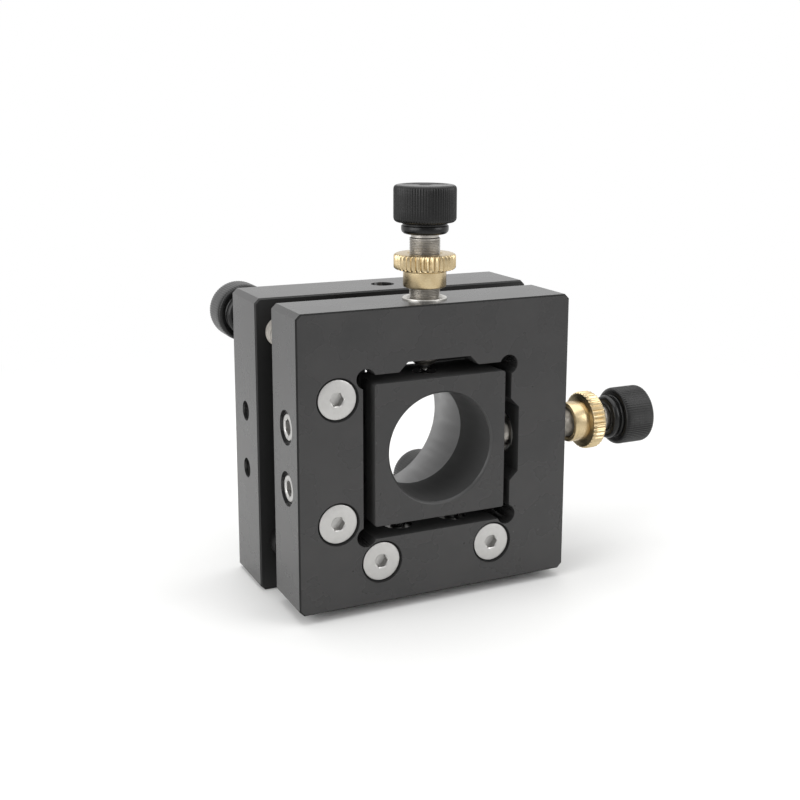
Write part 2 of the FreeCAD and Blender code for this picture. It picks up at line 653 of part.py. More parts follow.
class Adjuster:
    # One screw with its bushing, ball and knob; Z = 0 is the plate's outer face, Z outwards.

    def __init__(self, name, at, turn, wall, reach, ball_size, bush, stand, nut_stand=""):
        self.name = name
        self.at = at
        self.turn = turn
        self.wall = wall
        self.reach = "(%s)" % reach
        self.ball_size = ball_size
        self.bush = bush
        self.stand = stand
        self.nut_stand = nut_stand

    def bushing(self):
        body = new_body(self.name + "_bushing")
        inner = "adjuster_thread / 2 + run_gap"
        turned(body, [(inner, "-" + self.wall), (self.bush + " / 2", "-" + self.wall),
                      (self.bush + " / 2", "bushing_proud"), (inner, "bushing_proud")])
        put(body, self.at, self.turn)
        return keep(body)

    def screw(self):
        body = new_body(self.name + "_screw")
        shank = "adjuster_thread / 2"
        cup = "(%s / 2 + run_gap)" % self.ball_size
        nose = "(%s + nose_wall)" % cup
        end = "(%s + knob_socket)" % self.stand
        turned(body, [
            (cup, "-" + self.reach), (nose, "-" + self.reach),
            (shank, "-%s + %s - %s" % (self.reach, shank, nose)),
            (shank, end), ("0", end),
            ("0", "-%s + %s" % (self.reach, cup)), (cup, "-%s + %s" % (self.reach, cup)),
        ])
        put(body, self.at, self.turn)
        return keep(body)

    def tip(self):
        x, y, z = self.at
        deep = " - " + self.reach
        places = {"x": (x + deep, y, z), "y": (x, y, z + deep)}
        at = places.get(self.name, (x, y + deep, z))
        return keep(ball(self.name + "_ball", self.ball_size, at))

    def knob(self):
        body = new_body(self.name + "_knob")
        base = self.stand
        socket = "adjuster_thread / 2 + fit_gap"
        floor = "%s + knob_socket + fit_gap" % base
        step = "%s + hub_length" % base
        end = "%s + hub_length + knob_length" % base
        turned(body, [
            (socket, base), ("hub_thick / 2", base), ("hub_thick / 2", step),
            ("knob_thick / 2", step), ("knob_thick / 2", end), ("0", end),
            ("0", floor), (socket, floor),
        ])
        rims = find_edges(body, lambda e: near(getattr(e.Curve, "Radius", 0),
                                               size("knob_thick") / 2) and e.isClosed())
        dress(body, "Fillet", rims, "knob_round")
        key_hole(body, "knob_key", "knob_key_depth", end, False)
        put(body, self.at, self.turn)
        return keep(body)

    def lock_nut(self):
        body = new_body(self.name + "_locknut")
        inner = "adjuster_thread / 2 + run_gap"
        foot = self.nut_stand
        step = foot + " + nut_neck_length"
        end = step + " + nut_rim_length"
        rim = "nut_rim / 2"
        turned(body, [
            (inner, foot), ("nut_neck / 2", foot), ("nut_neck / 2", step),
            (rim + " - nut_rim_cut", step), (rim, step + " + nut_rim_cut"),
            (rim, end + " - nut_rim_cut"), (rim + " - nut_rim_cut", end), (inner, end),
        ])
        knurl(body, rim, step, "nut_rim_length")
        put(body, self.at, self.turn)
        return keep(body)

    def build(self):
        self.bushing()
        self.screw()
        self.tip()
        self.knob()
        if self.nut_stand:
            self.lock_nut()


def knurl(body, rim, start, length):
    # Straight grooves round a rim: one is cut and then repeated.
    sketch = new_sketch(body, "knurl", "XY_Plane", start)
    outer = rim + " + nut_knurl_depth"
    draw_outline(sketch, [(rim + " - nut_knurl_depth", "0"), (outer, "nut_knurl_width"),
                          (outer, "-nut_knurl_width")])
    first = cut(body, sketch, length, backwards=True)
    before = body.Shape.Volume
    ring = body.newObject("PartDesign::PolarPattern", body.Name + "_knurls")
    ring.Originals = [first]
    ring.Axis = (sketch, ["N_Axis"])
    ring.Angle = 360
    bind(ring, "Occurrences", "nut_knurls")
    settle(body, ring)
    if body.Shape.Volume >= before:
        raise RuntimeError(body.Name + " has one groove only")


def make_adjusters():
    side = "front_width / 2"
    top = "front_lift + front_height"
    wall_x = "((front_width - window_width) / 2 - notch_depth)"
    wall_y = "(front_height / 2 - window_rise - window_height / 2 - notch_depth)"
    touch = "tip_ball / 2 - touch_gap"
    reach_x = "front_width / 2 - cell_shift - cell_side / 2 - %s" % touch
    reach_y = "front_height / 2 - window_rise - cell_rise - cell_side / 2 - %s" % touch
    Adjuster("x", (side, STAGE_Y, WINDOW_Z), ALONG_X, wall_x, reach_x, "tip_ball",
             "bushing_thick", "hub_stand_x", "nut_stand_x").build()
    Adjuster("y", ("0", STAGE_Y, top), UPRIGHT, wall_y, reach_y, "tip_ball",
             "bushing_thick", "hub_stand_y", "nut_stand_y").build()
    in_groove = "(tilt_ball / 2 + touch_gap) * %s - groove_depth" % ROOT_TWO
    on_flat = "tilt_ball / 2 + touch_gap"
    wall = "(rear_thick - bushing_short)"
    for name, at, stand_off in (("pitch", PITCH_AT, in_groove), ("yaw", YAW_AT, on_flat)):
        reach = "rear_thick + plate_gap - (%s)" % stand_off
        Adjuster(name, (at[0], "rear_thick / 2", at[1]), ALONG_Y, wall, reach,
                 "tilt_ball", "bushing_thick_rear", "hub_stand_rear").build()


# The three points between the plates


def make_seats():
    at = (PIVOT_AT[0], SEAT_Y, PIVOT_AT[1])
    radius, low = "seat_thick / 2", "-seat_length"
    cone = new_body("cone_seat")
    turned(cone, [("0", low), (radius, low), (radius, "0"), ("cone_depth", "0"),
                  ("0", "-cone_depth")])
    put(cone, at, ALONG_Y)
    keep(cone)
    groove = rod("groove_seat", radius, low, "0", (PITCH_AT[0], SEAT_Y, PITCH_AT[1]), ALONG_Y)
    sketch = new_sketch(groove, "vee", "XZ_Plane", radius)
    draw_outline(sketch, [("-groove_depth", "0"), ("0", "-groove_depth"), ("groove_depth", "0")])
    cut(groove, sketch, "seat_thick")
    keep(groove)
    keep(rod("flat_seat", radius, low, "0", (YAW_AT[0], SEAT_Y, YAW_AT[1]), ALONG_Y))


def make_pivot():
    to_apex = "(pivot_ball / 2 + touch_gap) * " + ROOT_TWO
    lift = "(%s - cone_depth)" % to_apex
    centre = "(%s + %s)" % (SEAT_Y, lift)
    keep(ball("pivot_ball", "pivot_ball", (PIVOT_AT[0], centre, PIVOT_AT[1])))
    stud = new_body("pivot_stud")
    apex = "(-(plate_gap - %s - %s))" % (lift, to_apex)
    turned(stud, [
        ("0", apex), ("%s + stud_stand" % apex, "-stud_stand"), ("stud_head / 2", "-stud_stand"),
        ("stud_head / 2", "0"), ("stud_thread / 2", "0"), ("stud_thread / 2", "stud_length"),
        ("0", "stud_length"),
    ])
    put(stud, (PIVOT_AT[0], "-rear_thick / 2", PIVOT_AT[1]), ALONG_Y)
    keep(stud)


def make_wear_pads():
    right = "cell_shift + cell_side / 2"
    top = "%s + cell_side / 2" % CELL_Z
    keep(rod("x_wear_pad", "pad_thick / 2", "-pad_length", "0", (right, STAGE_Y, WINDOW_Z), ALONG_X))
    keep(rod("y_wear_pad", "pad_thick / 2", "-pad_length", "0", ("0", STAGE_Y, top)))


# Screws, plungers and pins


def make_face_screws():
    screws = []
    for i, (u, v) in enumerate(FACE_SCREWS):
        body = new_body("face_screw_%d" % i)
        head, thread = "face_screw_head / 2", "face_screw_thread / 2"
        top = "(face_screw_sink - face_screw_head) / 2"
        turned(body, [
            ("0", top), (head, top), (head, top + " + face_screw_land"),
            (thread, top + " + face_screw_land + (face_screw_head - face_screw_thread) / 2"),
            (thread, "front_thick - fit_gap"), ("0", "front_thick - fit_gap"),
        ])
        key_hole(body, "face_screw_key", "face_screw_key_depth", top, True)
        put(body, (u, FRONT_Y, "%s + front_lift" % v), ALONG_Y)
        screws.append(body)
    group("face_screws", screws)


def plunger_sleeve(label, at, turn):
    body = new_body(label)
    outer, room, way = "plunger_thread / 2", "plunger_chamber / 2", "nose_thick / 2 + run_gap"
    low = "plunger_sunk"
    floor = "plunger_sunk + plunger_floor"
    high = "plunger_sunk + plunger_sleeve"
    turned(body, [
        ("0", low), (outer, low), (outer, high), (way, high), (way, high + " - plunger_lip"),
        (room, high + " - plunger_lip"), (room, floor), ("0", floor),
    ])
    key_hole(body, "plunger_key", "plunger_key_depth", low, True)
    put(body, at, turn)
    return body


def nose_back():
    # Height of the nose's head above the plate's face, at the spring's side.
    return "(plunger_sunk + plunger_sleeve - plunger_lip - nose_travel - nose_head_length)"


def plunger_nose(label, at, turn, tip):
    body = new_body(label)
    head, stem = "nose_head / 2", "nose_thick / 2"
    back = nose_back()
    turned(body, [
        ("0", back), (head, back), (head, back + " + nose_head_length"),
        (stem, back + " + nose_head_length"), (stem, tip + " - nose_round"),
        (stem + " - nose_round", tip), ("0", tip),
    ])
    put(body, at, turn)
    return body


def coil(label, turns, wire, outside, length, at, turn, hooks=0.0, lead=0.0):
    # A wire spring along its own Z. hooks is the radius of the loop at each end, or 0.
    # lead is how far the coil starts and stops inside the loops' middles.
    # The wire is six-sided, which keeps its long curved faces light.
    middle = (outside - wire) / 2
    wound = length - 2 * lead
    helix = Part.makeHelix(wound / turns, wound, middle)
    corners = [FreeCAD.Vector(middle + u * wire / 2, 0, v * wire / 2) for u, v in HEXAGON]
    section = Part.makePolygon(corners + corners[:1])
    solid = Part.Wire(helix.Edges).makePipeShell([section], True, True)
    solid.translate(FreeCAD.Vector(0, 0, lead))
    if hooks:
        for level in (0, length):
            eye = Part.makeTorus(hooks, wire / 2, FreeCAD.Vector(0, 0, level),
                                 FreeCAD.Vector(0, 1, 0))
            solid = solid.fuse(eye)
    spring = doc.addObject("Part::Feature", label)
    spring.Label = label
    spring.Shape = solid
    put(spring, at, turn)
    doc.recompute()
    return spring


def make_plungers():
    reaches = {
        "side": "(front_width / 2 + cell_shift - cell_side / 2 + slot_depth - touch_gap)",
        "lower": "(front_height / 2 + window_rise + cell_rise - cell_side / 2"
                 " + slot_depth - touch_gap)",
    }
    wire = size("small_spring_wire")
    room = worth("%s - plunger_sunk - plunger_floor - small_spring_wire - 2 * run_gap" % nose_back())
    for name, places in plunger_places().items():
        sleeves, noses, springs = [], [], []
        for i, (at, turn) in enumerate(places):
            sleeves.append(plunger_sleeve("%s_sleeve_%d" % (name, i), at, turn))
            noses.append(plunger_nose("%s_nose_%d" % (name, i), at, turn, reaches[name]))
            rise = " + plunger_sunk + plunger_floor + small_spring_wire / 2 + run_gap"
            lifted = (at[0] + rise, at[1], at[2]) if name == "side" else (at[0], at[1], at[2] + rise)
            springs.append(coil("%s_small_spring_%d" % (name, i), size("small_spring_turns"), wire,
                                size("nose_thick"), room, lifted, turn))
        group(name + "_plunger_sleeves", sleeves)
        group(name + "_plunger_noses", noses)
        group(name + "_plunger_springs", springs)


def make_return_springs():
    wire = size("spring_wire")
    eye = (size("spring_outside") - wire) / 2 - wire / 4
    inset = eye - worth("spring_wire / 2 + pin_thick / 2 + run_gap")
    front_pin = "(%s - keeper_thick - fit_gap - pin_thick / 2 - fit_gap)" % SEAT_Y
    rear_pin = "(rear_thick / 2 - pin_sunk - pin_thick / 2)"
    reach = worth("%s - %s" % (rear_pin, front_pin))
    places = (("left", LEFT_SPRING_AT, ALONG_Y), ("lower", LOWER_SPRING_AT, ALONG_Y_LYING))
    for name, at, turn in places:
        start = (at[0], "%s + %.4f" % (front_pin, inset), at[1])
        keep(coil(name + "_return_spring", size("spring_turns"), wire, size("spring_outside"),
                  reach - 2 * inset, start, turn, hooks=eye, lead=size("spring_lead")))
    for plate, y in (("front", front_pin), ("rear", rear_pin)):
        left = rod("left_%s_pin" % plate, "pin_thick / 2", "-pin_length / 2", "pin_length / 2",
                   (LEFT_SPRING_AT[0], y, LEFT_SPRING_AT[1]))
        lower = rod("lower_%s_pin" % plate, "pin_thick / 2", "-pin_length / 2", "pin_length / 2",
                    (LOWER_SPRING_AT[0], y, LOWER_SPRING_AT[1]), ALONG_X)
        group(plate + "_spring_pins", [left, lower])


def write_nodes():
    for item in doc.Objects:
        if {"Invalid", "Error"} & set(item.State):
            raise RuntimeError("%s did not build: %s" % (item.Name, item.State))
    os.makedirs("parts", exist_ok=True)
    for part in nodes:
        shape = part.Shape
        if shape.isNull() or not shape.isValid():
            raise RuntimeError(part.Label + " is not a valid shape")
        shape.exportStep("parts/%s.step" % part.Label)
        print("%-24s solids %d volume %9.1f" % (part.Label, len(shape.Solids), shape.Volume))


fill_sheet()
make_rear_plate()
make_front_plate()
make_keeper()
make_cell()
make_wear_pads()
make_adjusters()
make_seats()
make_pivot()
make_face_screws()
make_plungers()
make_return_springs()
doc.recompute()
write_nodes()
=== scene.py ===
import math

import bmesh
import bpy
from mathutils import Matrix, Vector


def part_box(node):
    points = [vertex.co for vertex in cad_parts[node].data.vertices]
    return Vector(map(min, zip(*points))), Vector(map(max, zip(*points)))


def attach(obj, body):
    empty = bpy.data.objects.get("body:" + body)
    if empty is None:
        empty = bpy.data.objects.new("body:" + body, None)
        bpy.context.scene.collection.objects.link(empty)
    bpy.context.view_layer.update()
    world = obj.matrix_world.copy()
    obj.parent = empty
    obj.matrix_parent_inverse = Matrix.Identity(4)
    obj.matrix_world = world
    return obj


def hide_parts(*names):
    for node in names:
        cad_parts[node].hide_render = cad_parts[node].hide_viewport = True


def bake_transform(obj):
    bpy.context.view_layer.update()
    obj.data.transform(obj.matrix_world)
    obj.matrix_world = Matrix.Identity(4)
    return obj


# A mirror mount with two adjusters for tilt and two for centring, on a white table.
# Settings are in millimetres unless a comment says otherwise; the scene is in metres.

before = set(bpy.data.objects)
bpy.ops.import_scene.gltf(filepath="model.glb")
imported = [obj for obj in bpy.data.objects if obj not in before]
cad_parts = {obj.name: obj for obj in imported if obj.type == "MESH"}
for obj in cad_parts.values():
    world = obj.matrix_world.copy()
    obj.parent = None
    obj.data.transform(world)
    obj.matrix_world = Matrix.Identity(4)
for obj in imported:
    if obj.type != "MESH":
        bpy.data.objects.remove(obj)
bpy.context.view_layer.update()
millimetre = 0.001
scene = bpy.context.scene


# Colours and shader nodes


def srgb(text):
    # A written colour, as the linear numbers that the shaders take.
    parts = [int(text[i:i + 2], 16) / 255 for i in (0, 2, 4)]
    linear = [p / 12.92 if p <= 0.04045 else ((p + 0.055) / 1.055) ** 2.4 for p in parts]
    return (*linear, 1.0)


def addNode(tree, kind, inputs=None, **settings):
    # inputs gives values or other nodes' sockets by the input's name or number.
    node = tree.nodes.new("ShaderNode" + kind)
    for key, value in settings.items():
        setattr(node, key, value)
    for key, value in (inputs or {}).items():
        if isinstance(value, bpy.types.NodeSocket):
            tree.links.new(value, node.inputs[key])
        else:
            node.inputs[key].default_value = value
    return node


def blendColours(tree, factor, first, second):
    mix = addNode(tree, "Mix", {"Factor": factor}, data_type="RGBA")
    mix.inputs["A"].default_value = srgb(first)
    mix.inputs["B"].default_value = srgb(second)
    return mix.outputs["Result"]


def newMaterial(name):
    material = bpy.data.materials.new(name)
    material.use_nodes = True
    tree = material.node_tree
    tree.nodes.clear()
    return material, tree


def noiseAt(tree, vector, grain):
    # Noise whose features are about grain millimetres across.
    scale = 1 / (grain * millimetre)
    inputs = {"Vector": vector, "Scale": scale, "Detail": 3.0, "Roughness": 0.55}
    return addNode(tree, "TexNoise", inputs).outputs["Fac"]


def stretched(tree, uv, across, along):
    # Noise drawn out along a turned piece's lines: it changes fast across them.
    scale = (1 / (along * millimetre), 1 / (across * millimetre), 1.0)
    vector = addNode(tree, "Mapping", {"Vector": uv, "Scale": scale}).outputs["Vector"]
    inputs = {"Vector": vector, "Scale": 1.0, "Detail": 2.0}
    return addNode(tree, "TexNoise", inputs).outputs["Fac"]


# Most of what a noise gives lies between these.
noiseSpread = (0.3, 0.7)


def ranged(tree, value, low, high):
    # A noise, stretched to run from low to high.
    inputs = {"Value": value, "To Min": low, "To Max": high,
              "From Min": noiseSpread[0], "From Max": noiseSpread[1]}
    return addNode(tree, "MapRange", inputs).outputs["Result"]


# How far a face leans where each mask starts and is full, from 0 (a wall) to 1 (a face).
leans = {"slantFrom": 0.22, "slantFull": 0.34, "faceFrom": 0.9, "faceFull": 0.97,
         "wallFull": 0.12, "wallEnd": 0.2}
# How wide a mask's edge is, in metres.
maskEdge = 0.1 * millimetre


def smoothStep(tree, value, start, full):
    # 0 up to start and 1 from full on. Where start is the larger, it falls instead.
    inputs = {"Value": value, "From Min": start, "From Max": full}
    return addNode(tree, "MapRange", inputs, interpolation_type="SMOOTHSTEP").outputs["Result"]


def leaning(tree):
    # How far a face's normal leans to the front or back: 0 on a wall, 1 on a face.
    normal = addNode(tree, "NewGeometry").outputs["True Normal"]
    apart = addNode(tree, "SeparateXYZ", {0: normal}).outputs["Y"]
    return addNode(tree, "Math", {0: apart}, operation="ABSOLUTE").outputs[0]


def paintedEdgeMask(tree, lean):
    # 1 on chamfers and countersinks, whose normals lean partly to the front or back, for
    # painted light and shade.
    rise = smoothStep(tree, lean, leans["slantFrom"], leans["slantFull"])
    fall = smoothStep(tree, lean, leans["faceFull"], leans["faceFrom"])
    return addNode(tree, "Math", {0: rise, 1: fall}, operation="MULTIPLY").outputs[0]


def paintedWallMask(tree, place, lean, walls):
    # 1 on the walls around an opening that runs along Y, for their painted light and shade.
    middle = tuple(v * millimetre for v in walls["middle"])
    inputs = {0: place.outputs["Object"], 1: middle}
    away = addNode(tree, "VectorMath", inputs, operation="SUBTRACT").outputs["Vector"]
    flat = addNode(tree, "VectorMath", {0: away, 1: (1, 0, 1)}, operation="MULTIPLY")
    far = addNode(tree, "VectorMath", {0: flat.outputs["Vector"]}, operation="LENGTH")
    reach = walls["radius"] * millimetre
    inside = smoothStep(tree, far.outputs["Value"], reach + 2 * maskEdge, reach + maskEdge)
    upright = smoothStep(tree, lean, leans["wallEnd"], leans["wallFull"])
    return addNode(tree, "Math", {0: inside, 1: upright}, operation="MULTIPLY").outputs[0]


def paintedGapShadeMask(tree, place, gapPaintedShade):
    # 1 on what lies between two depths along Y, such as a face in the gap, for painted shade.
    depth = addNode(tree, "SeparateXYZ", {0: place.outputs["Object"]}).outputs["Y"]
    low, high = (v * millimetre for v in gapPaintedShade["depths"])
    past = smoothStep(tree, depth, low - maskEdge, low)
    short = smoothStep(tree, depth, high + maskEdge, high)
    return addNode(tree, "Math", {0: past, 1: short}, operation="MULTIPLY").outputs[0]


def paintLightAndShade(tree, place, colour, rough, look):
    # Painted light and shade: colour and roughness swapped on chamfers, in the gap and on
    # walls.
    lean = leaning(tree)
    parts = [(paintedEdgeMask(tree, lean), look["edgesPaintedLightAndShade"])]
    parts.append((paintedWallMask(tree, place, lean, look["walls"]), look["walls"]))
    if "gapPaintedShade" in look:
        parts.append((paintedGapShadeMask(tree, place, look["gapPaintedShade"]), look["gapPaintedShade"]))
    for mask, part in parts:
        mix = addNode(tree, "Mix", {"Factor": mask}, data_type="RGBA")
        mix.inputs["B"].default_value = srgb(part["colour"])
        tree.links.new(colour, mix.inputs["A"])
        colour = mix.outputs["Result"]
        inputs = {"Value": mask, "To Min": rough, "To Max": part["rough"]}
        rough = addNode(tree, "MapRange", inputs).outputs["Result"]
    return colour, rough


def makeFinish(name, look):
    material, tree = newMaterial(name)
    place = addNode(tree, "TexCoord")
    mottle = noiseAt(tree, place.outputs["Object"], look["mottle"])
    colour = blendColours(tree, ranged(tree, mottle, 0.0, 1.0), *look["colours"])
    if "lines" in look:
        height = stretched(tree, place.outputs["UV"], look["lines"], look["lineLength"])
        rough = ranged(tree, height, *look["rough"])
    else:
        height = noiseAt(tree, place.outputs["Object"], look["grain"])
        rough = ranged(tree, mottle, *look["rough"])
    if "walls" in look:
        colour, rough = paintLightAndShade(tree, place, colour, rough, look)
    bump = addNode(tree, "Bump", {"Height": height, "Strength": 1.0,
                                  "Distance": look["depth"] * millimetre})
    shader = addNode(tree, "BsdfPrincipled", {
        "Base Color": colour, "Metallic": look["metal"], "Roughness": rough,
        "Normal": bump.outputs["Normal"],
    })
    shader.inputs["Specular IOR Level"].default_value = look.get("specular", 0.5)
    addNode(tree, "OutputMaterial", {"Surface": shader.outputs["BSDF"]})
    return material


# Aluminium, fine-blasted and then anodised black. Chamfers and countersinks get painted
# shade: a near-black tone, matched to how black they look.
anodised = {"colours": ("262626", "2e2d2d"), "mottle": 9.0, "grain": 0.5, "depth": 0.0025,
            "rough": (0.26, 0.29), "metal": 0.0, "edgesPaintedLightAndShade": {"colour": "060606", "rough": 0.9}}

# Mottle, grain, lines and depth are in millimetres. Walls and gaps are places that get
# painted light and shade of their own.
finishes = {
    # Black anodised, with painted light on the bore's wall, which is made lighter, and painted
    # shade on the face in the gap, both matched in tone. Black anodised, with the bore's wall
    # and the face in the gap matched in tone to the photo. What is matched here may only be
    # the photo's light.
    "rearAnodised": {**anodised,
                     "walls": {"middle": (0.0, 0.0, 31.0), "radius": 17.5, "colour": "747474",
                               "rough": 0.24},
                     "gapPaintedShade": {"depths": (-7.6, -7.3), "colour": "050505", "rough": 0.6}},
    # The same, with painted shade on the window's walls and on the face in the gap, matched in
    # tone.
    "frontAnodised": {**anodised,
                      "walls": {"middle": (0.0, 0.0, 32.3), "radius": 23.0,
                                "colour": "1a1a1a", "rough": 0.9},
                      "gapPaintedShade": {"depths": (-14.0, -13.7), "colour": "050505", "rough": 0.6}},
    # The same on the cell: painted shade on its bore and sides, painted light and shade on its
    # cut edges.
    "cellAnodised": {**anodised, "edgesPaintedLightAndShade": {"colour": "303030", "rough": 0.4},
                     "walls": {"middle": (0.55, 0.0, 32.6), "radius": 24.0,
                               "colour": "333333", "rough": 0.9}},
    # Painted shade, a dull black, on the steel stud in the gap and the threads inside tapped
    # holes.
    "paintedShadeBlack": {"colours": ("0c0c0c", "131313"), "mottle": 1.5, "grain": 0.08,
                   "depth": 0.002, "rough": (0.45, 0.6), "metal": 0.0, "specular": 0.15},
    # The keeper behind the window, in a flatter black that shows little light.
    "blackKeeper": {"colours": ("131313", "1a1a1a"), "mottle": 4.0, "grain": 0.12,
                    "depth": 0.004, "rough": (0.45, 0.55), "metal": 0.0, "specular": 0.35},
    # Knurled aluminium knobs, anodised a deeper black with a soft sheen.
    "blackKnob": {"colours": ("0c0c0c", "121212"), "mottle": 2.0, "lines": 0.06,
                  "lineLength": 6.0, "depth": 0.0015, "rough": (0.24, 0.32), "metal": 0.0,
                  "specular": 0.3},
    # Turned free-cutting brass of the lock nuts, lightly handled.
    "turnedBrass": {"colours": ("bfab85", "cbb995"), "mottle": 1.6, "lines": 0.05,
                    "lineLength": 5.0, "depth": 0.002, "rough": (0.24, 0.34), "metal": 1.0},
    # Rolled and ground stainless thread of the adjusters.
    "threadSteel": {"colours": ("9c9892", "b9b5ae"), "mottle": 1.2, "grain": 0.08,
                    "depth": 0.001, "rough": (0.34, 0.44), "metal": 1.0},
    # Turned stainless steel of the bushings.
    "turnedSteel": {"colours": ("b9b7b2", "d3d1cc"), "mottle": 1.5, "lines": 0.05,
                    "lineLength": 5.0, "depth": 0.0015, "rough": (0.32, 0.42), "metal": 1.0},
    # Nickel-plated heads of the face screws and the plungers' sleeves.
    "platedSteel": {"colours": ("b7b6b4", "bebdbb"), "mottle": 1.2, "lines": 0.08,
                    "lineLength": 3.0, "depth": 0.002, "rough": (0.38, 0.42), "metal": 1.0},
    # Hardened steel, lapped bright, of the balls, seats, noses and pads.
    "lappedSteel": {"colours": ("c4c4c4", "d6d6d5"), "mottle": 1.0, "grain": 0.05,
                    "depth": 0.0004, "rough": (0.08, 0.16), "metal": 1.0},
    # Drawn spring wire with a dull grey skin.
    "springWire": {"colours": ("8b8a88", "a3a2a0"), "mottle": 0.8, "grain": 0.06,
                   "depth": 0.002, "rough": (0.3, 0.42), "metal": 1.0},
}
materials = {name: makeFinish(name, look) for name, look in finishes.items()}
print("materials made:", len(materials))


# Turned pieces and threads

# Marks on a profile's points.
kinds = {"hex": 1, "knurl": 2}
# Points closer than these distances, in metres, are merged.
mergeGaps = {"turned": 1e-7, "thread": 2e-6}
# Steps around the wire, along one turn of a coil, and along a loop at its end.
coilSteps = {"wire": 12, "turn": 28, "eye": 36}


def placed(origin, axis):
    # Turns a piece's own Z onto axis and moves its zero to origin, both in metres.
    turn = Vector((0, 0, 1)).rotation_difference(Vector(axis))
    return Matrix.Translation(Vector(origin)) @ turn.to_matrix().to_4x4()


def sixSided(angle):
    # How much farther out a hexagon's wall is than its flats, at that angle.
    step = math.radians(60)
    return 1 / math.cos((angle % step) - step / 2)


def groove(angle, count):
    # 0 on a ridge of a knurl, 1 at the bottom of the groove beside it.
    turn = (angle * count / math.tau) % 1.0
    return 0.5 - 0.5 * math.cos(math.tau * turn)


def spinProfile(bm, stations, steps, knurl=None):
    # stations are (radius, height) or (radius, height, "hex" or "knurl").
    kind = bm.verts.layers.int.new("kind")
    line = []
    for radius, height, *mark in stations:
        vert = bm.verts.new((radius * millimetre, 0, height * millimetre))
        vert[kind] = kinds[mark[0]] if mark else 0
        line.append(vert)
    closed = stations[0][:2] == stations[-1][:2]
    if closed:
        bm.verts.remove(line.pop())
    pairs = list(zip(line, line[1:])) + ([(line[-1], line[0])] if closed else [])
    edges = [bm.edges.new(pair) for pair in pairs]
    bmesh.ops.spin(bm, geom=line + edges, cent=(0, 0, 0), axis=(0, 0, 1),
                   angle=math.tau, steps=steps, use_merge=True)
    bmesh.ops.remove_doubles(bm, verts=bm.verts[:], dist=mergeGaps["turned"])
    for vert in bm.verts:
        angle = math.atan2(vert.co.y, vert.co.x)
        if vert[kind] == kinds["hex"]:
            vert.co.xy *= sixSided(angle)
        if vert[kind] == kinds["knurl"]:
            radius = vert.co.xy.length
            cut = groove(angle, knurl["count"]) * knurl["depth"] * millimetre
            vert.co.xy *= (radius - cut) / radius
    bmesh.ops.recalc_face_normals(bm, faces=bm.faces[:])


def spinThread(bm, thread, low, high, steps):
    # A helical ridge: the whole thread's profile turned once and lifted by one pitch.
    # It starts below low and ends above high, and both ends are then cut off flat.
    pitch, crest = thread["pitch"], thread["crest"]
    root = crest - thread["depth"]
    shape = [(crest, 0.0), (crest, 0.15), (root, 0.5), (root, 0.65)]
    below, above = 2, 1
    line = []
    for turn in range(below + math.ceil((high - low) / pitch) + above):
        for radius, share in shape:
            height = low + (turn - below + share) * pitch
            line.append(bm.verts.new((radius * millimetre, 0, height * millimetre)))
    edges = [bm.edges.new(pair) for pair in zip(line, line[1:])]
    lift = (0, 0, pitch * millimetre / steps)
    bmesh.ops.spin(bm, geom=line + edges, cent=(0, 0, 0), axis=(0, 0, 1), dvec=lift,
                   angle=math.tau, steps=steps, use_merge=False)
    bmesh.ops.remove_doubles(bm, verts=bm.verts[:], dist=mergeGaps["thread"])
    for level, sign in ((low, -1), (high, 1)):
        whole = bm.verts[:] + bm.edges[:] + bm.faces[:]
        cut = bmesh.ops.bisect_plane(bm, geom=whole, plane_co=(0, 0, level * millimetre),
                                     plane_no=(0, 0, sign), clear_outer=True, dist=1e-8)
        rim = [e for e in cut["geom_cut"] if isinstance(e, bmesh.types.BMEdge)]
        bmesh.ops.edgeloop_fill(bm, edges=rim)
    bmesh.ops.recalc_face_normals(bm, faces=bm.faces[:])


def wireRing(bm, wire, place):
    # A circle of the wire's section, as the geometry that a spin takes.
    ring = bmesh.ops.create_circle(bm, segments=coilSteps["wire"], radius=wire / 2,
                                   matrix=place)
    return ring["verts"] + list(dict.fromkeys(e for v in ring["verts"] for e in v.link_edges))


def spinCoil(bm, coil, span):
    # A wire coil along Z from zero, with a loop of wire across each end if it has eyes.
    # The coil stops short of each end by its lead, inside the loops.
    middle, wire = coil["middle"] * millimetre, coil["wire"] * millimetre
    lead, length = coil["lead"] * millimetre, span * millimetre
    upright = Matrix.Rotation(math.radians(90), 4, "X")
    ring = wireRing(bm, wire, Matrix.Translation((middle, 0, lead)) @ upright)
    steps = int(coil["turns"] * coilSteps["turn"])
    lift = (0, 0, (length - 2 * lead) / steps)
    bmesh.ops.spin(bm, geom=ring, cent=(0, 0, 0), axis=(0, 0, 1), dvec=lift,
                   angle=math.tau * coil["turns"], steps=steps, use_merge=False)
    bmesh.ops.holes_fill(bm, edges=bm.edges[:], sides=coilSteps["wire"])
    for level in (0, length) if "eye" in coil else ():
        eye = bmesh.new()
        ring = wireRing(eye, wire, Matrix.Translation((coil["eye"] * millimetre, 0, 0)))
        bmesh.ops.spin(eye, geom=ring, cent=(0, 0, 0), axis=(0, 1, 0), angle=math.tau,
                       steps=coilSteps["eye"], use_merge=True)
        bmesh.ops.remove_doubles(eye, verts=eye.verts[:], dist=mergeGaps["turned"])
        bmesh.ops.translate(eye, verts=eye.verts[:], vec=(0, 0, level))
        joinInto(bm, eye)
    bmesh.ops.recalc_face_normals(bm, faces=bm.faces[:])


def joinInto(bm, other):
    # Copies other's faces into bm and frees it.
    carried = bpy.data.meshes.new("carried")
    other.to_mesh(carried)
    other.free()
    bm.from_mesh(carried)
    bpy.data.meshes.remove(carried)


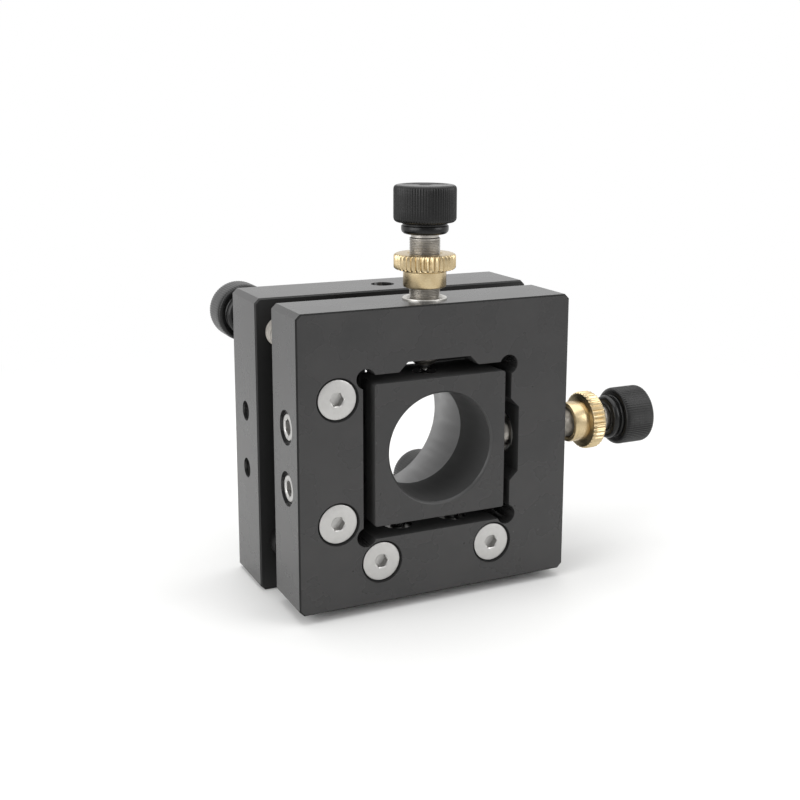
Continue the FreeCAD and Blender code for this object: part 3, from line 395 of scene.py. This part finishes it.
def lay(bm, across):
    # UVs in metres along and across a turned piece's lines, before it is put in place.
    layer = bm.loops.layers.uv.new("UVMap")
    for face in bm.faces:
        middle = face.calc_center_median()
        base = math.atan2(middle.y, middle.x)
        for loop in face.loops:
            co = loop.vert.co
            angle = math.atan2(co.y, co.x) if co.xy.length > 1e-6 else base
            while angle - base > math.pi:
                angle -= math.tau
            while base - angle > math.pi:
                angle += math.tau
            loop[layer].uv = (angle * across * millimetre, co.z - co.xy.length)


# A piece's radius for its UVs, and the angle in degrees from which an edge is sharp.
plainPiece = {"across": 4.0, "sharp": 28}


def finishPiece(bm, name, matrices, given):
    # One object made of a copy of bm at each matrix, riding on its body unless it is a spring.
    settings = {**plainPiece, **given}
    lay(bm, settings["across"])
    whole = bmesh.new()
    for matrix in matrices:
        copy = bm.copy()
        bmesh.ops.transform(copy, matrix=matrix, verts=copy.verts[:])
        joinInto(whole, copy)
    bm.free()
    mesh = bpy.data.meshes.new(name)
    whole.to_mesh(mesh)
    whole.free()
    mesh.polygons.foreach_set("use_smooth", [True] * len(mesh.polygons))
    mesh.set_sharp_from_angle(angle=math.radians(settings["sharp"]))
    piece = bpy.data.objects.new(name, mesh)
    scene.collection.objects.link(piece)
    piece.data.materials.append(materials[settings["finish"]])
    if "stretch" in settings:
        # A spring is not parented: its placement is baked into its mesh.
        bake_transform(piece)
    else:
        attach(piece, settings["body"])
    if "node" in settings:
        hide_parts(settings["node"])


def nodeSpan(node, axis):
    # Where a node starts along an axis, in the middle of its section, and its length.
    low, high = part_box(node)
    start = (low + high) / 2
    along = axis.index(1)
    start[along] = low[along]
    return start, (high[along] - low[along]) / millimetre


toRight, toBack, upwards = (1, 0, 0), (0, 1, 0), (0, 0, 1)


# Knobs, lock nuts, bushings and adjuster screws

# The way each adjuster points, and the plate that holds it.
axes = {"x": toRight, "y": upwards, "pitch": toBack, "yaw": toBack}
holders = {"x": "front", "y": "front", "pitch": "rear", "yaw": "rear"}
# Radii of the bushing and the ball of the adjusters in each plate.
adjusterSizes = {"front": {"bushing": 4.5, "ball": 1.5}, "rear": {"bushing": 4.0, "ball": 2.0}}

knobProfile = [
    (0.0, 0.2), (3.1, 0.2), (3.35, 0.0), (3.95, 0.0), (4.3, 0.12), (4.6, 0.4), (4.74, 0.75),
    (4.75, 0.95), (4.75, 1.55), (4.66, 1.66), (4.5, 1.72), (4.5, 2.02), (4.62, 2.1),
    (4.75, 2.3), (5.4, 2.3), (5.78, 2.38), (6.06, 2.58, "knurl"), (6.23, 2.85, "knurl"),
    (6.3, 3.2, "knurl"), (6.3, 4.6, "knurl"), (6.3, 6.0, "knurl"), (6.3, 7.4, "knurl"),
    (6.3, 8.85, "knurl"), (6.23, 9.2, "knurl"), (6.06, 9.46, "knurl"), (5.8, 9.63), (5.4, 9.7),
    (4.6, 9.7), (4.5, 9.62), (1.5, 9.62), (1.32, 9.52), (1.0, 9.4, "hex"), (1.0, 8.2, "hex"),
    (0.0, 8.05),
]
knobKnurl = {"count": 72, "depth": 0.11, "steps": 6}
nutProfile = [
    (3.2, 0.45), (3.5, 0.12), (3.62, 0.0), (4.0, 0.0), (4.25, 0.12), (4.35, 0.38), (4.35, 3.2),
    (4.22, 3.3), (4.22, 3.52), (4.35, 3.6), (5.6, 3.6), (5.9, 3.7), (6.14, 3.88, "knurl"),
    (6.25, 4.12, "knurl"), (6.25, 4.8, "knurl"), (6.25, 5.6, "knurl"), (6.25, 6.28, "knurl"),
    (6.14, 6.52, "knurl"), (5.9, 6.7), (5.6, 6.8), (3.62, 6.8), (3.5, 6.68), (3.2, 6.35),
    (3.2, 0.45),
]
nutKnurl = {"count": 36, "depth": 0.42, "steps": 8}
screwThread = {"pitch": 0.3175, "crest": 3.1, "depth": 0.17}
# Where the thread starts, the length in the knob, and the relief between.
screwEnds = {"cup": 1.9, "inKnob": 6.6, "relief": 0.85}


def buildKnob(name):
    bm = bmesh.new()
    spinProfile(bm, knobProfile, knobKnurl["count"] * knobKnurl["steps"], knobKnurl)
    start, _ = nodeSpan(name + "_knob", axes[name])
    finishPiece(bm, name + "_knob_turned", [placed(start, axes[name])], {
        "finish": "blackKnob", "body": name + "_drive", "node": name + "_knob",
        "slot": "black_knob", "across": 6.3, "sharp": 40})


def buildNut(name):
    bm = bmesh.new()
    spinProfile(bm, nutProfile, nutKnurl["count"] * nutKnurl["steps"], nutKnurl)
    start, _ = nodeSpan(name + "_locknut", axes[name])
    finishPiece(bm, name + "_locknut_turned", [placed(start, axes[name])], {
        "finish": "turnedBrass", "body": name + "_nut", "node": name + "_locknut",
        "slot": "brass", "across": 6.25, "sharp": 40})


def buildBushing(name):
    node = name + "_bushing"
    start, length = nodeSpan(node, axes[name])
    radius = adjusterSizes[holders[name]]["bushing"]
    bm = bmesh.new()
    spinProfile(bm, [
        (3.2, 0.3), (3.45, 0.0), (radius - 0.3, 0.0), (radius, 0.3), (radius, length - 0.15),
        (radius - 0.06, length - 0.04), (radius - 0.16, length), (3.6, length),
        (3.45, length - 0.08), (3.2, length - 0.4), (3.2, 0.3),
    ], steps=96)
    finishPiece(bm, node + "_turned", [placed(start, axes[name])], {
        "finish": "turnedSteel", "body": holders[name], "node": node,
        "slot": "turned_steel", "across": radius})


def buildScrew(name):
    # Cup at the ball's end, thread, a short relief and the end that goes into the knob.
    node = name + "_screw"
    start, length = nodeSpan(node, axes[name])
    crest = screwThread["crest"]
    inKnob = length - screwEnds["inKnob"]
    relief = inKnob - screwEnds["relief"]
    bm = bmesh.new()
    spinThread(bm, screwThread, screwEnds["cup"], relief, steps=40)
    ball = adjusterSizes[holders[name]]["ball"]
    cup, nose = ball + 0.06, ball + 0.5
    tip = bmesh.new()
    spinProfile(tip, [
        (0.0, cup), (cup * 0.7, cup * 0.75), (cup, 0.12), (cup + 0.1, 0.0), (nose - 0.12, 0.0),
        (nose, 0.1), (crest, crest - nose + 0.1), (crest, 2.0), (0.0, 2.0),
    ], steps=64)
    joinInto(bm, tip)
    neck = bmesh.new()
    spinProfile(neck, [
        (0.0, relief - 0.2), (3.05, relief - 0.2), (3.05, relief + 0.02),
        (2.78, relief + 0.2), (2.78, inKnob + 0.2), (0.0, inKnob + 0.2),
    ], steps=64)
    joinInto(bm, neck)
    finishPiece(bm, node + "_threaded", [placed(start, axes[name])], {
        "finish": "threadSteel", "body": name + "_drive", "node": node,
        "slot": "threaded_steel", "across": 3.1, "sharp": 50})


def ballProfile(radius, steps=24):
    # A half circle that starts at zero height, with both ends on the axis.
    angles = [math.pi * i / steps - math.pi / 2 for i in range(steps + 1)]
    return [(abs(radius * math.cos(a)) if 0 < i < steps else 0.0,
             radius + radius * math.sin(a)) for i, a in enumerate(angles)]


def buildBall(node, body):
    start, across = nodeSpan(node, upwards)
    bm = bmesh.new()
    spinProfile(bm, ballProfile(across / 2), steps=48)
    finishPiece(bm, node + "_lapped", [placed(start, upwards)], {
        "finish": "lappedSteel", "body": body, "node": node, "slot": "polished_steel"})


for name in axes:
    buildKnob(name)
    buildBushing(name)
    buildScrew(name)
    buildBall(name + "_ball", name + "_tip")
for name in ("x", "y"):
    buildNut(name)
buildBall("pivot_ball", "pivot")
print("adjusters made")


# Face screws, plungers, springs, seats and pins

platePlaces = {
    "faceFront": -27.8, "plungerDepth": -21.4, "leftFace": -30.0, "underside": 2.0,
    "windowHeight": 32.3, "cellHeight": 32.6,
}
faceScrews = {"across": 21.7, "spacing": 25.0, "sunk": 0.3}
faceScrewProfile = [
    (0.0, 1.75), (1.25, 1.6, "hex"), (1.25, 0.12, "hex"), (1.52, 0.0), (3.7, 0.0),
    (3.92, 0.07), (4.0, 0.22), (3.98, 0.36), (2.0, 2.4), (2.0, 13.6), (0.0, 13.6),
]
plungers = {"spacing": 12.4, "sunk": 0.3}
plungerCoil = {"middle": 1.3, "wire": 0.4, "turns": 5, "lead": 0.0, "room": 0.2}
returnCoil = {"middle": 2.1, "wire": 0.7, "turns": 11, "lead": 0.4, "eye": 1.925}
springPins = {"length": 9.0, "leftAcross": -19.8, "lowerHeight": 10.5}


def metres(x, y, z):
    # A place given in millimetres, as the scene's metres.
    return Vector((x, y, z)) * millimetre


def buildFaceScrews():
    half, away = faceScrews["spacing"] / 2, faceScrews["across"]
    mid, face = platePlaces["windowHeight"], platePlaces["faceFront"] + faceScrews["sunk"]
    spots = [(-away, mid + half), (-away, mid - half), (-half, mid - away), (half, mid - away)]
    places = [placed(metres(x, face, z), toBack) for x, z in spots]
    bm = bmesh.new()
    spinProfile(bm, faceScrewProfile, steps=96)
    finishPiece(bm, "face_screws_turned", places, {
        "finish": "platedSteel", "body": "front", "node": "face_screws",
        "slot": "plated_screw", "across": 3.0, "sharp": 24})


sleeveProfile = [
    (0.0, 2.2), (1.5, 2.0, "hex"), (1.5, 0.2, "hex"), (1.86, 0.0), (2.35, 0.0), (2.55, 0.08),
    (2.98, 0.55), (2.98, 12.4), (2.7, 12.7), (1.62, 12.7), (1.56, 12.6), (1.56, 11.92),
    (2.05, 11.9), (2.05, 4.05), (0.0, 4.05),
]


def plungerSpots(side):
    # Where a group's two plungers enter their plate, in metres, and the way they point.
    half, depth = plungers["spacing"] / 2, platePlaces["plungerDepth"]
    if side == "side":
        left, middle = platePlaces["leftFace"], platePlaces["cellHeight"]
        return [metres(left, depth, middle + s * half) for s in (1, -1)], toRight
    return [metres(s * half, depth, platePlaces["underside"]) for s in (1, -1)], upwards


def placedAt(spots, axis, level):
    # A placement at each spot, with its distance along the axis set to level, in metres.
    along = axis.index(1)
    places = []
    for spot in spots:
        origin = spot.copy()
        origin[along] = level
        places.append(placed(origin, axis))
    return places


def buildSleeves(side):
    spots, axis = plungerSpots(side)
    sunk = Vector(axis) * plungers["sunk"] * millimetre
    node = side + "_plunger_sleeves"
    bm = bmesh.new()
    spinProfile(bm, sleeveProfile, steps=72)
    finishPiece(bm, node + "_turned", [placed(spot + sunk, axis) for spot in spots], {
        "finish": "platedSteel", "body": "front", "node": node, "slot": "plated_screw",
        "across": 3.0, "sharp": 24})


def buildNoses(side):
    spots, axis = plungerSpots(side)
    node = side + "_plunger_noses"
    start, length = nodeSpan(node, axis)
    bm = bmesh.new()
    spinProfile(bm, [
        (0.0, 0.0), (1.85, 0.0), (2.0, 0.15), (2.0, 0.85), (1.85, 1.0), (1.5, 1.0),
        (1.5, length - 0.95), (1.44, length - 0.6), (1.2, length - 0.28), (0.85, length - 0.08),
        (0.45, length), (0.0, length),
    ], steps=56)
    finishPiece(bm, node + "_turned", placedAt(spots, axis, start[axis.index(1)]), {
        "finish": "lappedSteel", "body": side + "_noses", "node": node,
        "slot": "polished_steel", "across": 1.5})


def buildPlungerSprings(side):
    # One end rests in the plate and the other at the noses.
    spots, axis = plungerSpots(side)
    node = side + "_plunger_springs"
    start, length = nodeSpan(node, axis)
    end = start + Vector(axis) * length * millimetre
    room = plungerCoil["room"]
    level = start[axis.index(1)] + room * millimetre
    bm = bmesh.new()
    spinCoil(bm, plungerCoil, length - 2 * room)
    finishPiece(bm, node + "_wound", placedAt(spots, axis, level), {
        "finish": "springWire", "body": "front", "node": node, "slot": "spring_wire",
        "stretch": {"to": side + "_noses", "start": tuple(start), "end": tuple(end)}})


def buildReturnSpring(node, turn):
    # turn is how far the spring is turned about its own length, in degrees.
    front, length = nodeSpan(node, toBack)
    rear = front + Vector(toBack) * length * millimetre
    reach = returnCoil["eye"] + returnCoil["wire"] / 2
    bm = bmesh.new()
    spinCoil(bm, returnCoil, length - 2 * reach)
    place = placed(front + Vector(toBack) * reach * millimetre, toBack)
    place = place @ Matrix.Rotation(math.radians(turn), 4, "Z")
    finishPiece(bm, node + "_wound", [place], {
        "finish": "springWire", "body": "rear", "node": node, "slot": "spring_wire",
        "stretch": {"to": "pivot", "start": tuple(rear), "end": tuple(front)}})


def buildPins(node, body):
    # The left spring's pin stands upright, the lower spring's pin lies along X.
    low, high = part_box(node)
    depth = (low.y + high.y) / 2 / millimetre
    length = springPins["length"]
    bm = bmesh.new()
    spinProfile(bm, [
        (0.0, 0.0), (0.8, 0.0), (0.94, 0.08), (1.0, 0.3), (1.0, length - 0.3),
        (0.94, length - 0.08), (0.8, length), (0.0, length),
    ], steps=40)
    foot = platePlaces["cellHeight"] - length / 2
    places = [placed(metres(springPins["leftAcross"], depth, foot), upwards),
              placed(metres(-length / 2, depth, springPins["lowerHeight"]), toRight)]
    finishPiece(bm, node + "_turned", places, {
        "finish": "lappedSteel", "body": body, "node": node, "slot": "polished_steel"})


seatProfiles = {
    "cone_seat": [(0.0, 0.0), (2.6, 0.0), (2.8, 0.2), (2.8, 2.85), (2.65, 3.0), (2.06, 3.0),
                  (1.94, 2.94), (0.0, 1.0)],
    "flat_seat": [(0.0, 0.0), (2.6, 0.0), (2.8, 0.2), (2.8, 2.8), (2.6, 3.0), (0.0, 3.0)],
}
padProfile = [(0.0, 0.0), (2.3, 0.0), (2.5, 0.15), (2.5, 1.08), (2.38, 1.2), (0.0, 1.2)]


def buildLapped(node, body, axis, profile):
    start, _ = nodeSpan(node, axis)
    bm = bmesh.new()
    spinProfile(bm, profile, steps=72)
    finishPiece(bm, node + "_turned", [placed(start, axis)], {
        "finish": "lappedSteel", "body": body, "node": node, "slot": "polished_steel",
        "across": 2.5})


buildFaceScrews()
for side in ("side", "lower"):
    buildSleeves(side)
    buildNoses(side)
    buildPlungerSprings(side)
buildReturnSpring("left_return_spring", turn=0)
buildReturnSpring("lower_return_spring", turn=90)
buildPins("front_spring_pins", "front")
buildPins("rear_spring_pins", "rear")
for node, profile in seatProfiles.items():
    buildLapped(node, "front", toBack, profile)
buildLapped("x_wear_pad", "cell", toRight, padProfile)
buildLapped("y_wear_pad", "cell", upwards, padProfile)
print("screws, plungers, springs and seats made")


# Plates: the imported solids, with their sharp edges softened and their finish

plateLooks = {
    "rear_plate": {"finish": "rearAnodised", "slot": "black_anodised", "softened": 0.09},
    "front_plate": {"finish": "frontAnodised", "slot": "black_anodised", "softened": 0.09},
    "mirror_cell": {"finish": "cellAnodised", "slot": "black_anodised", "softened": 0.08},
    "keeper_plate": {"finish": "blackKeeper", "slot": "black_keeper", "softened": 0.08},
    "groove_seat": {"finish": "lappedSteel", "slot": "polished_steel", "softened": 0.05},
    # The stud is turned steel, given painted shade where it stands in the gap.
    "pivot_stud": {"finish": "paintedShadeBlack", "slot": "turned_steel", "softened": 0.06},
}


# How a plate's flat faces are joined and its edges rounded.
plateEdges = {"merged": 0.001, "flatDegrees": 0.4, "sharpDegrees": 28, "segments": 2}


def dressNode(node, look):
    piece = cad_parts[node]
    piece.data.materials.clear()
    piece.data.materials.append(materials[look["finish"]])
    weld = piece.modifiers.new("weld", "WELD")
    weld.merge_threshold = plateEdges["merged"] * millimetre
    flat = piece.modifiers.new("flat", "DECIMATE")
    flat.decimate_type = "DISSOLVE"
    flat.angle_limit = math.radians(plateEdges["flatDegrees"])
    soft = piece.modifiers.new("soft", "BEVEL")
    soft.width = look["softened"] * millimetre
    soft.segments = plateEdges["segments"]
    soft.limit_method = "ANGLE"
    soft.angle_limit = math.radians(plateEdges["sharpDegrees"])
    soft.harden_normals = True
    soft.use_clamp_overlap = True


# Tapped holes in the rear plate: where each starts and which way it goes.
tappedHoles = {
    "post_hole_threads": {"radius": 2.5, "pitch": 1.0, "places": [
        ((0, 0, 0), (0, 0, 1)), ((0, 0, 62), (0, 0, -1))]},
    "side_hole_threads": {"radius": 2.1, "pitch": 0.8, "places": [
        ((-31.25, 0, 37.2), (1, 0, 0)), ((-31.25, 0, 24.8), (1, 0, 0))]},
}
tapThread = {"from": 0.5, "to": 6.8, "depth": 0.28, "proud": 0.02}


def buildTapThreads(name, hole):
    # The thread inside a tapped hole, as a thin threaded lining in a dull black that is painted
    # shade.
    thread = {"pitch": hole["pitch"], "crest": hole["radius"] + tapThread["proud"],
              "depth": tapThread["depth"]}
    bm = bmesh.new()
    spinThread(bm, thread, tapThread["from"], tapThread["to"], steps=40)
    # The lining is open: its two flat ends, which alone have many corners, come off.
    caps = [f for f in bm.faces if len(f.verts) > 8]
    bmesh.ops.delete(bm, geom=caps, context="FACES_ONLY")
    bmesh.ops.reverse_faces(bm, faces=bm.faces[:])
    places = [placed(metres(*mouth), axis) for mouth, axis in hole["places"]]
    finishPiece(bm, name, places, {"finish": "paintedShadeBlack", "body": "rear",
                                   "slot": "black_anodised", "across": hole["radius"],
                                   "sharp": 40})


for node, look in plateLooks.items():
    dressNode(node, look)
for name, hole in tappedHoles.items():
    buildTapThreads(name, hole)
print("plates dressed")


# Table, lights and camera

# Metres: the table's size, and where it starts to fade and is white.
tableTop = {"size": 1.6, "fadeFrom": 0.09, "white": 0.24}


def makeFloor():
    bm = bmesh.new()
    bmesh.ops.create_grid(bm, x_segments=2, y_segments=2, size=tableTop["size"])
    mesh = bpy.data.meshes.new("table")
    bm.to_mesh(mesh)
    bm.free()
    table = bpy.data.objects.new("table", mesh)
    scene.collection.objects.link(table)
    material, tree = newMaterial("whiteTable")
    place = addNode(tree, "TexCoord").outputs["Object"]
    far = addNode(tree, "VectorMath", {0: place}, operation="LENGTH").outputs["Value"]
    ramp = smoothStep(tree, far, tableTop["fadeFrom"], tableTop["white"])
    path = addNode(tree, "LightPath")
    seen = addNode(tree, "Math", {0: path.outputs["Is Camera Ray"],
                                  1: path.outputs["Is Glossy Ray"]}, operation="MAXIMUM")
    # Only what the camera or a reflection sees fades to white: the lit table stays matt.
    amount = addNode(tree, "Math", {0: ramp, 1: seen.outputs[0]}, operation="MULTIPLY")
    matt = addNode(tree, "BsdfPrincipled", {"Base Color": srgb("f6f6f5"), "Roughness": 0.6})
    white = addNode(tree, "Emission", {"Color": srgb("ffffff"), "Strength": 1.0})
    both = addNode(tree, "MixShader", {0: amount.outputs[0], 1: matt.outputs["BSDF"],
                                       2: white.outputs["Emission"]})
    addNode(tree, "OutputMaterial", {"Surface": both.outputs["Shader"]})
    mesh.materials.append(material)


# The room reflects white but for one dark side, fixed where the photo was taken from.
studio = {"darkSide": (-0.44, -0.88, 0.2), "darkFrom": 0.5, "darkFull": 0.97, "dark": 0.0,
          "soft": 0.47}


def makeWorld():
    world = bpy.data.worlds.new("studio")
    world.use_nodes = True
    tree = world.node_tree
    tree.nodes.clear()
    path = addNode(tree, "LightPath")
    towards = addNode(tree, "TexCoord").outputs["Generated"]
    near = addNode(tree, "VectorMath", {0: towards, 1: studio["darkSide"]},
                   operation="DOT_PRODUCT").outputs["Value"]
    shade = addNode(tree, "MapRange", {
        "Value": near, "From Min": studio["darkFrom"], "From Max": studio["darkFull"],
        "To Min": 1.0, "To Max": studio["dark"]}, interpolation_type="SMOOTHSTEP")
    shiny = addNode(tree, "Math", {0: path.outputs["Is Glossy Ray"],
                                   1: shade.outputs["Result"]}, operation="MULTIPLY")
    seen = addNode(tree, "Math", {0: path.outputs["Is Camera Ray"],
                                  1: shiny.outputs[0]}, operation="MAXIMUM")
    soft = addNode(tree, "Background", {"Color": srgb("ffffff"), "Strength": studio["soft"]})
    white = addNode(tree, "Background", {"Color": srgb("ffffff"), "Strength": 1.0})
    both = addNode(tree, "MixShader", {0: seen.outputs[0], 1: soft.outputs[0],
                                       2: white.outputs[0]})
    addNode(tree, "OutputWorld", {"Surface": both.outputs[0]})
    scene.world = world


# Lamps in metres and watts: where, how wide, and how strong.
lamps = {
    "overhead": {"at": (0.05, 0.05, 0.75), "size": 0.9, "power": 4.2},
    "leftSoft": {"at": (-0.75, -0.15, 0.35), "size": 0.7, "power": 4.6},
    "rightFill": {"at": (0.6, -0.6, 0.4), "size": 0.5, "power": 2.3},
}
lampTarget = (0, 0, 0.03)


def makeLamps():
    for name, lamp in lamps.items():
        data = bpy.data.lights.new(name, "AREA")
        data.shape = "SQUARE"
        data.size = lamp["size"]
        data.energy = lamp["power"]
        light = bpy.data.objects.new(name, data)
        light.location = lamp["at"]
        aim = Vector(lampTarget) - Vector(lamp["at"])
        light.rotation_euler = aim.to_track_quat("-Z", "Y").to_euler()
        scene.collection.objects.link(light)


# The photograph's camera: degrees, pixels of an 800-pixel frame, and metres.
view = {"azimuth": -26.63, "elevation": 11.46, "roll": 0.44, "focal": 1205.2,
        "at": (-0.1046, -0.2358, 0.1021), "frame": 800.0, "middle": (438.5, 339.3)}


def makeCamera():
    data = bpy.data.cameras.new("camera")
    data.sensor_width = 36.0
    data.lens = view["focal"] / view["frame"] * data.sensor_width
    data.shift_x = 0.5 - view["middle"][0] / view["frame"]
    data.shift_y = view["middle"][1] / view["frame"] - 0.5
    data.clip_start, data.clip_end = 0.01, 20.0
    camera = bpy.data.objects.new("camera", data)
    azimuth, elevation = math.radians(view["azimuth"]), math.radians(view["elevation"])
    back = Vector((math.sin(azimuth) * math.cos(elevation),
                   -math.cos(azimuth) * math.cos(elevation), math.sin(elevation)))
    right = Vector((0, 0, 1)).cross(back).normalized()
    up = back.cross(right)
    turn = Matrix((right, up, back)).transposed().to_4x4()
    roll = Matrix.Rotation(math.radians(view["roll"]), 4, "Z")
    camera.matrix_world = Matrix.Translation(view["at"]) @ turn @ roll
    scene.collection.objects.link(camera)
    scene.camera = camera


makeFloor()
makeWorld()
makeLamps()
makeCamera()
scene.view_settings.view_transform = "Standard"
print("stage made")
